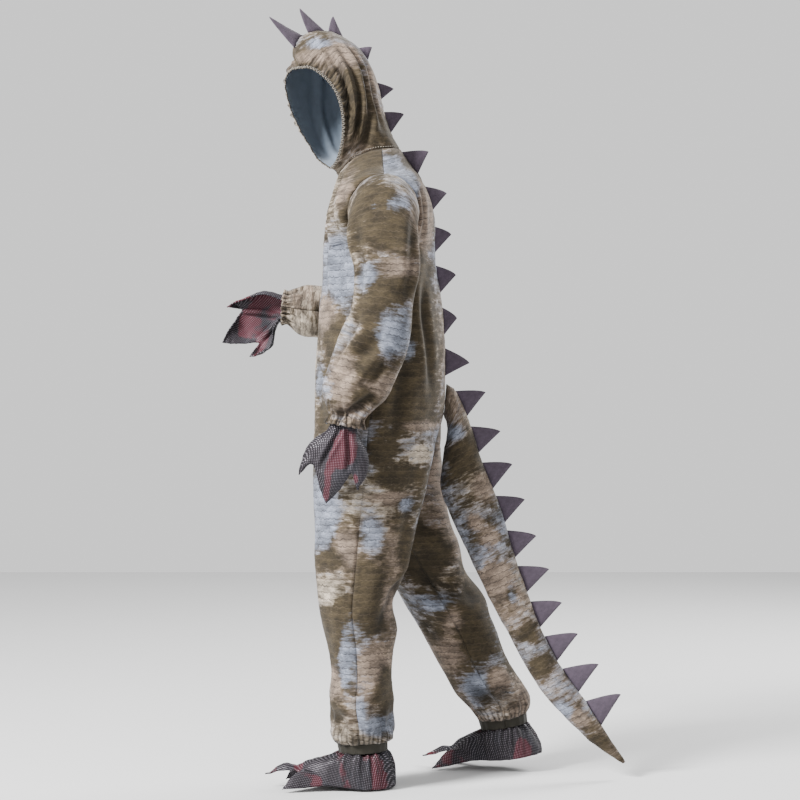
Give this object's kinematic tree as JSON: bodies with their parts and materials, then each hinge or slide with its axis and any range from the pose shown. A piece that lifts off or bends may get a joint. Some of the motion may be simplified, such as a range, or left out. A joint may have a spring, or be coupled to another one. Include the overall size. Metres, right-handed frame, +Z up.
{
  "type": "dinosaur costume",
  "caption": "Hooded plush dinosaur suit with a row of felt spikes, a long hanging tail, clawed hand covers and clawed foot covers, empty and held in a worn pose.",
  "frame": {"origin": "middle of the neck opening between hood and body, where the suit hangs on a pair of shoulders", "axes": "the costume faces -Y, its left side is +X, +Z is up"},
  "size_m": [0.6301, 0.9716, 1.808],
  "materials": {
    "plush": "short soft pile with a printed scale pattern",
    "elastic": "matt elastic band",
    "foil_cloth": "padded cloth with a fine dotted foil print",
    "spike_felt": "matt padded felt"
  },
  "bodies": {
    "root": {"front_left": "plush", "front_right": "plush", "back_left": "plush", "back_right": "plush", "sleeve_left": "plush", "sleeve_right": "plush", "hood_left": "plush", "hood_right": "plush", "tail_left": "plush", "tail_right": "plush", "face_elastic": "elastic", "ankle_band_left": "elastic", "ankle_band_right": "elastic", "glove_left": "foil_cloth", "glove_right": "foil_cloth", "boot_left": "foil_cloth", "boot_right": "foil_cloth", "spike_01": "spike_felt", "spike_02": "spike_felt", "spike_03": "spike_felt", "spike_04": "spike_felt", "spike_05": "spike_felt", "spike_06": "spike_felt", "spike_07": "spike_felt", "spike_08": "spike_felt", "spike_09": "spike_felt", "spike_10": "spike_felt", "spike_11": "spike_felt", "spike_12": "spike_felt", "spike_13": "spike_felt", "spike_14": "spike_felt", "spike_15": "spike_felt", "spike_16": "spike_felt", "spike_17": "spike_felt", "spike_18": "spike_felt", "spike_19": "spike_felt", "spike_20": "spike_felt", "spike_21": "spike_felt", "spike_22": "spike_felt"}
  },
  "joints": []
}
